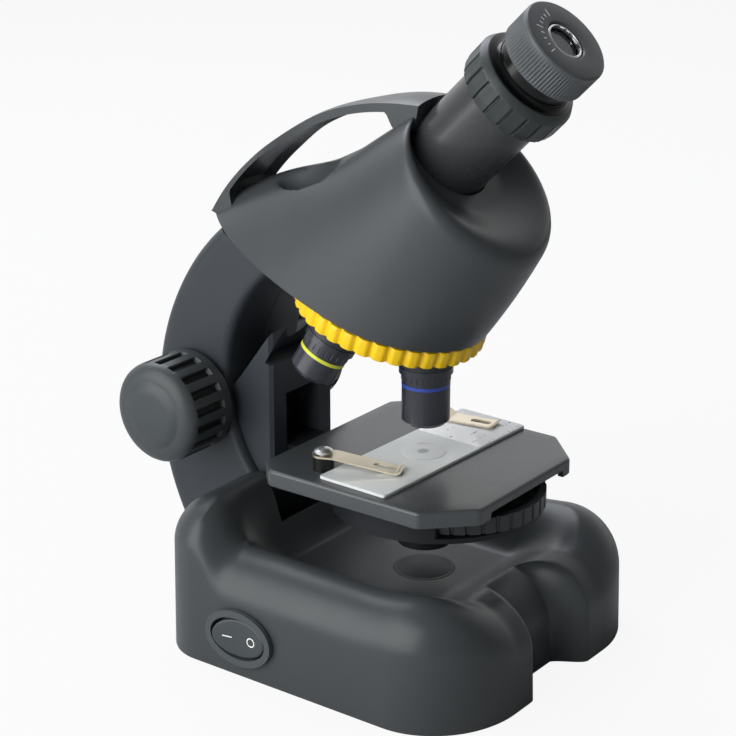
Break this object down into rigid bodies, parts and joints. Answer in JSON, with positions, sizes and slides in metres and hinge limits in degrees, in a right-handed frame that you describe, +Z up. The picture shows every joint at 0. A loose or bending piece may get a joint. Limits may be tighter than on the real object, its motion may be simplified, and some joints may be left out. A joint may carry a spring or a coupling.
{
  "type": "microscope",
  "caption": "Compact student microscope with an inclined eyepiece, carry handle, rotating objective turret, rack-focused stage with slide and clips, and a lamp in its sculpted base.",
  "frame": {"origin": "on the underside of the base, directly below the optical axis of the active objective", "axes": "+Z up, +Y to the back where the arm stands, -Y towards the eyepiece, +X to the right seen from the front"},
  "size_m": [0.1179, 0.1565, 0.213],
  "materials": {
    "shell": "satin dark slate grey, finely textured",
    "dark": "satin near-black",
    "head": "satin dark slate grey",
    "stage": "satin dark grey",
    "switch": "satin black",
    "steel": "zinc plated steel",
    "chrome": "polished",
    "brass": "turned",
    "clip": "nickel plated spring steel",
    "rubber": "black",
    "cell": "printed can",
    "board": "solder mask",
    "led": "clear epoxy",
    "window": "frosted",
    "lens": "coated",
    "slide": "clear",
    "wire": "insulated wire",
    "tube": "satin dark grey",
    "objective": "satin blue-black",
    "gloss": "polished black",
    "yellow": "satin yellow",
    "blue": "painted line",
    "green": "painted line",
    "red": "painted line",
    "gear": "acetal"
  },
  "bodies": {
    "housing": {"base_shell": "shell", "base_plate": "dark", "battery_door": "dark", "door_screw": "steel", "battery_cells": "cell", "battery_contacts": "steel", "rubber_feet": "rubber", "base_screws": "steel", "led_board": "board", "led_lamp": "led", "lamp_window": "window", "switch_bezel": "switch", "switch_body": "switch", "wires": "wire", "arm_left": "shell", "arm_right": "shell", "arm_screws": "steel", "rail_housing": "shell", "shaft_bushes": "brass", "head_shell": "head", "head_plate": "dark", "head_screws": "steel", "carry_handle": "head", "eyepiece_tube": "tube", "prism": "lens", "prism_bracket": "dark", "turret_screw": "steel", "detent_plunger": "steel"},
    "rocker": {"rocker_switch": "switch"},
    "focus_knobs": {"focus_shaft": "steel", "focus_pinion": "gear", "knob_left": "dark", "knob_right": "dark"},
    "stage": {"stage_plate": "stage", "stage_carriage": "dark", "stage_screws": "steel", "clip_posts": "dark", "clip_screws": "chrome", "diaphragm_housing": "dark", "condenser_ring": "dark", "condenser_lens": "lens", "diaphragm_screw": "steel", "specimen_slide": "slide"},
    "left_clip": {"clip_left": "clip"},
    "right_clip": {"clip_right": "clip"},
    "diaphragm": {"diaphragm_disc": "dark"},
    "turret": {"nosepiece": "dark", "grip_ring": "yellow", "objective_high": "objective", "objective_medium": "objective", "objective_low": "objective", "ring_high": "blue", "ring_medium": "green", "ring_low": "red", "objective_lenses": "lens"},
    "collar": {"eyepiece_collar": "dark"},
    "eyepiece": {"eyepiece_barrel": "gloss", "eyepiece_cap": "dark", "eyepiece_lenses": "lens"}
  },
  "joints": [
    {"name": "stage_slide", "type": "slide", "parent": "housing", "child": "stage", "axis": [0, 0, 1], "range_m": [-0.008, 0.006]},
    {"name": "knob_turn", "type": "hinge", "parent": "housing", "child": "focus_knobs", "pos_m": [0, 0.0795, 0.0728], "axis": [1, 0, 0], "range_deg": [-73, 97]},
    {"name": "turret_turn", "type": "hinge", "parent": "housing", "child": "turret", "pos_m": [0, 0.0144, 0.1086], "axis": [0, -0.3007, 0.9537], "continuous": true},
    {"name": "clip_left_swivel", "type": "hinge", "parent": "stage", "child": "left_clip", "pos_m": [-0.0285, 0.0192, 0.0694], "axis": [0, 0, 1], "range_deg": [-40, 60]},
    {"name": "clip_right_swivel", "type": "hinge", "parent": "stage", "child": "right_clip", "pos_m": [0.0285, 0.0192, 0.0694], "axis": [0, 0, 1], "range_deg": [-50, 22]},
    {"name": "diaphragm_turn", "type": "hinge", "parent": "stage", "child": "diaphragm", "pos_m": [0, -0.013, 0.0565], "axis": [0, 0, 1], "continuous": true},
    {"name": "collar_turn", "type": "hinge", "parent": "housing", "child": "collar", "pos_m": [0, 0, 0.156], "axis": [0, -0.7071, 0.7071], "range_deg": [0, 60]},
    {"name": "eyepiece_slide", "type": "slide", "parent": "housing", "child": "eyepiece", "axis": [0, -0.7071, 0.7071], "range_m": [-0.004, 0.012]},
    {"name": "rocker_tilt", "type": "hinge", "parent": "housing", "child": "rocker", "pos_m": [-0.0538, 0.0302, 0.0139], "axis": [0, 0, 1], "range_deg": [0, 10]}
  ],
  "couplings": [
    {"joint": "knob_turn", "follows": "stage_slide", "rad_per_m": -208.33}
  ]
}
